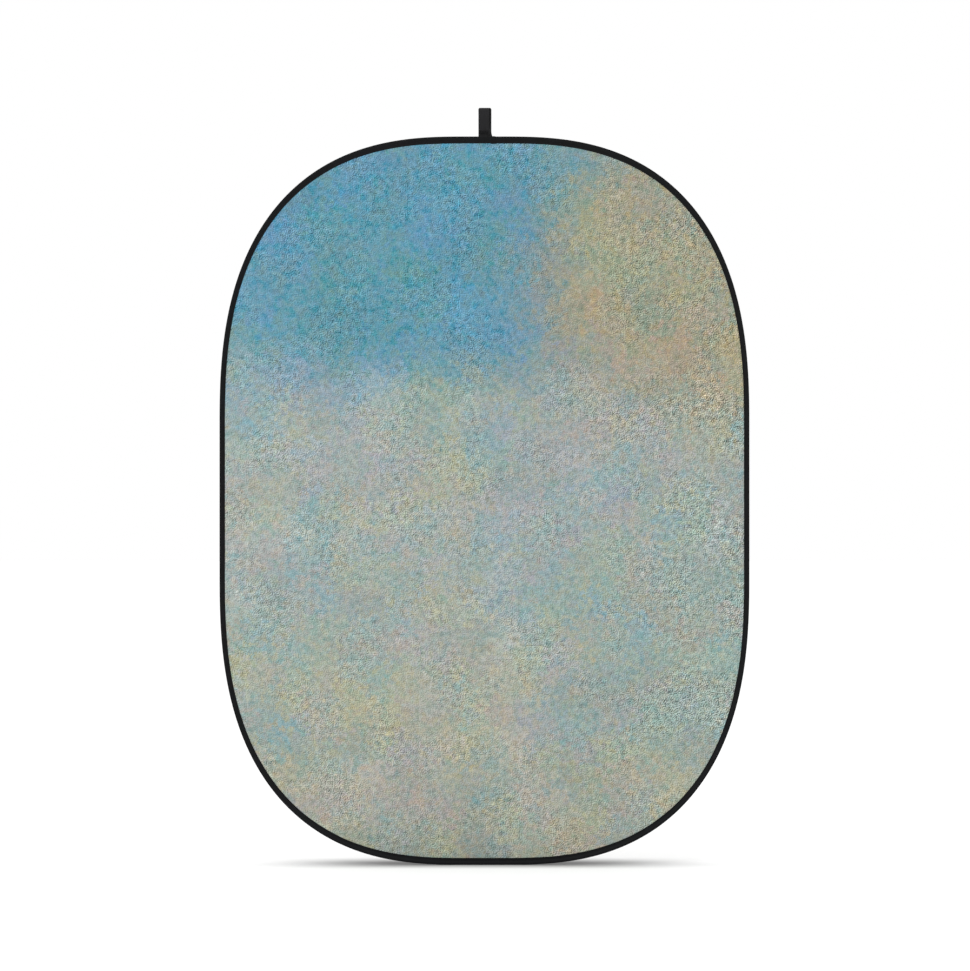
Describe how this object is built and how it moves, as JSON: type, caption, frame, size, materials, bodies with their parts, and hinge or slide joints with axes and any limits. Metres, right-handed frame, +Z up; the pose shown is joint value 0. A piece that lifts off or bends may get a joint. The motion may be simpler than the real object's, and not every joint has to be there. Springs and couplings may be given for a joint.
{
  "type": "collapsible photo backdrop",
  "caption": "Tall round-cornered pop-up photo backdrop: printed cloth and lining in a black-bound spring hoop, with a webbing loop to hang it by.",
  "frame": {"origin": "the highest point inside the hanging loop, where a hook carries the backdrop; the panel hangs below it and 7.9 mm in front of it", "axes": "+Z up along the panel's height, +X to the right of the printed face, -Y the way the printed face looks"},
  "size_m": [1.5, 0.0208, 2.144],
  "materials": {
    "print_cloth": "matte",
    "lining_cloth": "matte",
    "binding_tape": "matte",
    "webbing": "matte",
    "thread": "satin",
    "spring_steel": "satin",
    "hoop_sleeve": "satin"
  },
  "bodies": {
    "top": {"top_print": "print_cloth", "top_lining": "lining_cloth", "top_binding": "binding_tape", "top_hoop": "spring_steel", "binding_lap": "binding_tape", "loop_tails": "webbing"},
    "band_1": {"band_1_print": "print_cloth", "band_1_lining": "lining_cloth", "band_1_left_binding": "binding_tape", "band_1_right_binding": "binding_tape", "band_1_left_hoop": "spring_steel", "band_1_right_hoop": "spring_steel"},
    "band_2": {"band_2_print": "print_cloth", "band_2_lining": "lining_cloth", "band_2_left_binding": "binding_tape", "band_2_right_binding": "binding_tape", "band_2_left_hoop": "spring_steel", "band_2_right_hoop": "spring_steel"},
    "band_3": {"band_3_print": "print_cloth", "band_3_lining": "lining_cloth", "band_3_left_binding": "binding_tape", "band_3_right_binding": "binding_tape", "band_3_left_hoop": "spring_steel", "band_3_right_hoop": "spring_steel"},
    "band_4": {"band_4_print": "print_cloth", "band_4_lining": "lining_cloth", "band_4_left_binding": "binding_tape", "band_4_right_binding": "binding_tape", "band_4_left_hoop": "spring_steel", "band_4_right_hoop": "spring_steel"},
    "band_5": {"band_5_print": "print_cloth", "band_5_lining": "lining_cloth", "band_5_left_binding": "binding_tape", "band_5_right_binding": "binding_tape", "band_5_left_hoop": "spring_steel", "band_5_right_hoop": "spring_steel"},
    "band_6": {"band_6_print": "print_cloth", "band_6_lining": "lining_cloth", "band_6_left_binding": "binding_tape", "band_6_right_binding": "binding_tape", "band_6_left_hoop": "spring_steel", "band_6_right_hoop": "spring_steel"},
    "band_7": {"band_7_print": "print_cloth", "band_7_lining": "lining_cloth", "band_7_left_binding": "binding_tape", "band_7_right_binding": "binding_tape", "band_7_left_hoop": "spring_steel", "band_7_right_hoop": "spring_steel"},
    "bottom": {"bottom_print": "print_cloth", "bottom_lining": "lining_cloth", "bottom_binding": "binding_tape", "bottom_left_hoop": "spring_steel", "bottom_right_hoop": "spring_steel", "hoop_sleeve": "hoop_sleeve"},
    "loop": {"hanging_loop": "webbing", "loop_tack_front": "thread", "loop_tack_back": "thread"}
  },
  "joints": [
    {"name": "fold_1", "type": "hinge", "parent": "top", "child": "band_1", "pos_m": [0, -0.0079, -0.65646], "axis": [-1, 0, 0], "range_deg": [-22.5, 22.5], "stiffness_Nm_per_rad": 10},
    {"name": "fold_2", "type": "hinge", "parent": "band_1", "child": "band_2", "pos_m": [0, -0.0079, -0.78644], "axis": [-1, 0, 0], "range_deg": [-22.5, 22.5], "stiffness_Nm_per_rad": 10},
    {"name": "fold_3", "type": "hinge", "parent": "band_2", "child": "band_3", "pos_m": [0, -0.0079, -0.91643], "axis": [-1, 0, 0], "range_deg": [-22.5, 22.5], "stiffness_Nm_per_rad": 10},
    {"name": "fold_4", "type": "hinge", "parent": "band_3", "child": "band_4", "pos_m": [0, -0.0079, -1.04641], "axis": [-1, 0, 0], "range_deg": [-22.5, 22.5], "stiffness_Nm_per_rad": 10},
    {"name": "fold_5", "type": "hinge", "parent": "band_4", "child": "band_5", "pos_m": [0, -0.0079, -1.17639], "axis": [-1, 0, 0], "range_deg": [-22.5, 22.5], "stiffness_Nm_per_rad": 10},
    {"name": "fold_6", "type": "hinge", "parent": "band_5", "child": "band_6", "pos_m": [0, -0.0079, -1.30638], "axis": [-1, 0, 0], "range_deg": [-22.5, 22.5], "stiffness_Nm_per_rad": 10},
    {"name": "fold_7", "type": "hinge", "parent": "band_6", "child": "band_7", "pos_m": [0, -0.0079, -1.43636], "axis": [-1, 0, 0], "range_deg": [-22.5, 22.5], "stiffness_Nm_per_rad": 10},
    {"name": "fold_8", "type": "hinge", "parent": "band_7", "child": "bottom", "pos_m": [0, -0.0079, -1.56634], "axis": [-1, 0, 0], "range_deg": [-22.5, 22.5], "stiffness_Nm_per_rad": 10},
    {"name": "loop_flop", "type": "hinge", "parent": "top", "child": "loop", "pos_m": [0, 0, -0.0774], "axis": [1, 0, 0], "range_deg": [-120, 90], "stiffness_Nm_per_rad": 0.02}
  ],
  "couplings": [
    {"joint": "fold_2", "follows": "fold_1", "ratio": 1},
    {"joint": "fold_3", "follows": "fold_1", "ratio": 1},
    {"joint": "fold_4", "follows": "fold_1", "ratio": 1},
    {"joint": "fold_5", "follows": "fold_1", "ratio": 1},
    {"joint": "fold_6", "follows": "fold_1", "ratio": 1},
    {"joint": "fold_7", "follows": "fold_1", "ratio": 1},
    {"joint": "fold_8", "follows": "fold_1", "ratio": 1}
  ]
}
